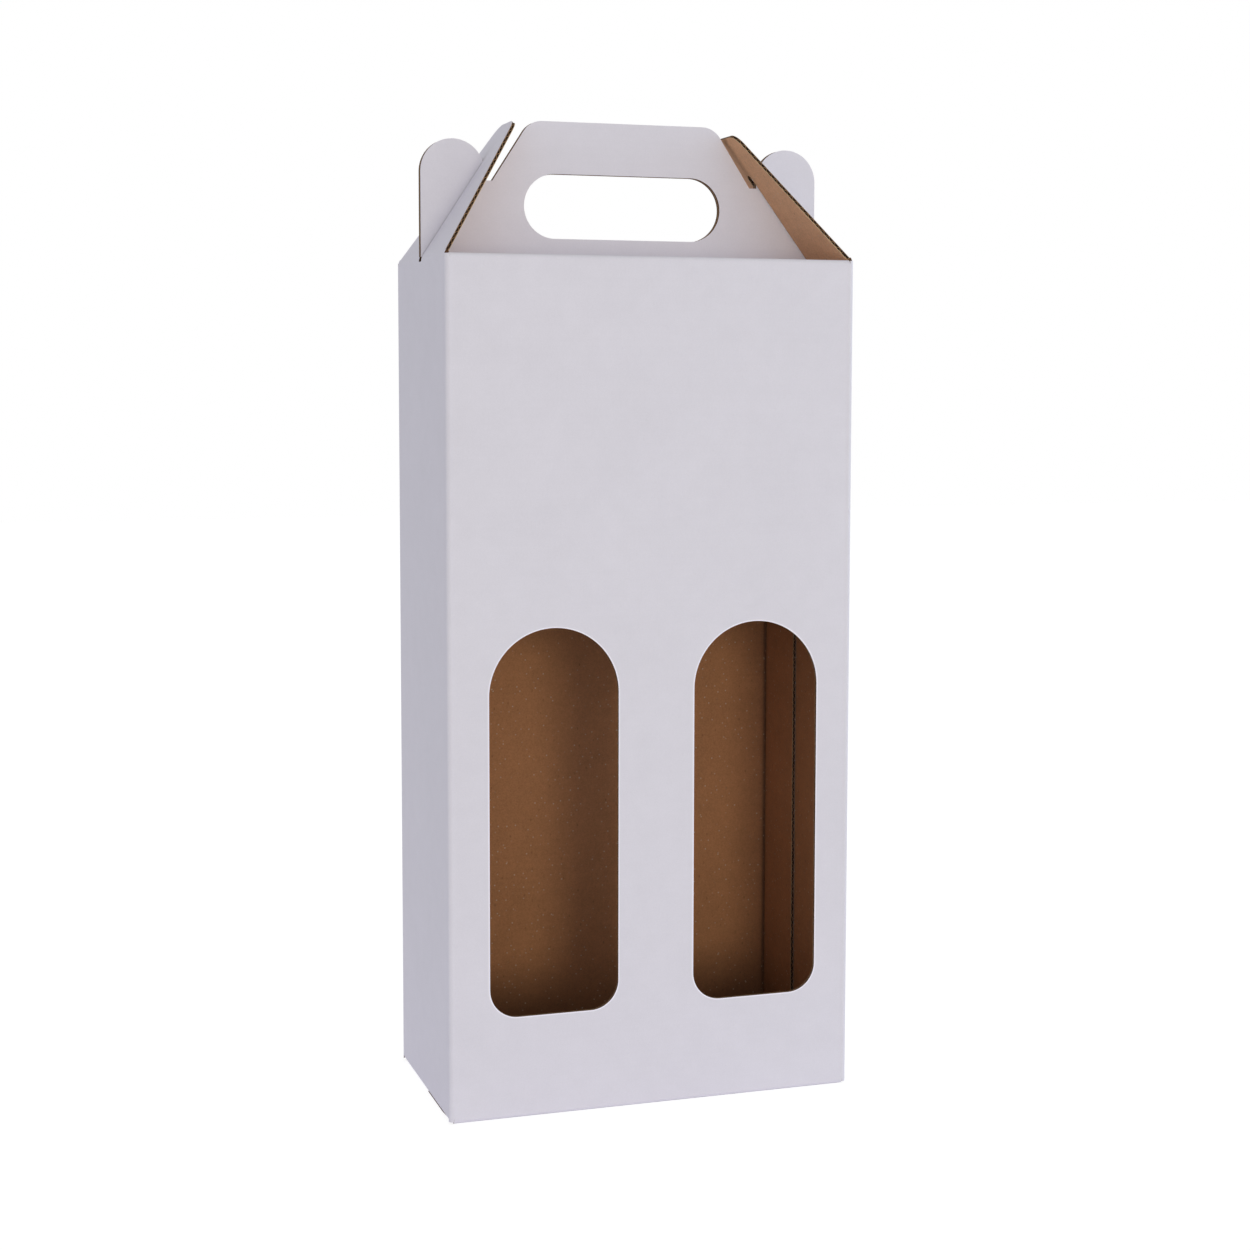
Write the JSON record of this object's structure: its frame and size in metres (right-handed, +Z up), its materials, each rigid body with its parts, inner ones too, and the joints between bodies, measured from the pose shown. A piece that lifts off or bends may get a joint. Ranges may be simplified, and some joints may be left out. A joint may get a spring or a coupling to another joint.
{
  "type": "two-bottle shipping and carrying box",
  "caption": "Tall corrugated carton for bottles, folded from one sheet, with arched front windows, a handle with a hand hole, and side flaps that lock over its ears.",
  "frame": {"origin": "centre of the base, on the surface the box stands on", "axes": "+Z up, front wall with the windows towards -Y, +X to the right seen from the front"},
  "size_m": [0.184, 0.095, 0.4305],
  "materials": {
    "white_lined_board": "matt white liner outside, brown kraft inside",
    "flap_board": "matt white liner outside, brown kraft inside"
  },
  "bodies": {
    "carton": {"carton": "white_lined_board"},
    "left_flap": {"left_side_flap": "flap_board"},
    "right_flap": {"right_side_flap": "flap_board"}
  },
  "joints": [
    {"name": "left_flap_fold", "type": "hinge", "parent": "carton", "child": "left_flap", "pos_m": [-0.092, 0, 0.37], "axis": [0, -1, 0], "range_deg": [0, 130]},
    {"name": "right_flap_fold", "type": "hinge", "parent": "carton", "child": "right_flap", "pos_m": [0.092, 0, 0.37], "axis": [0, 1, 0], "range_deg": [0, 130]}
  ]
}
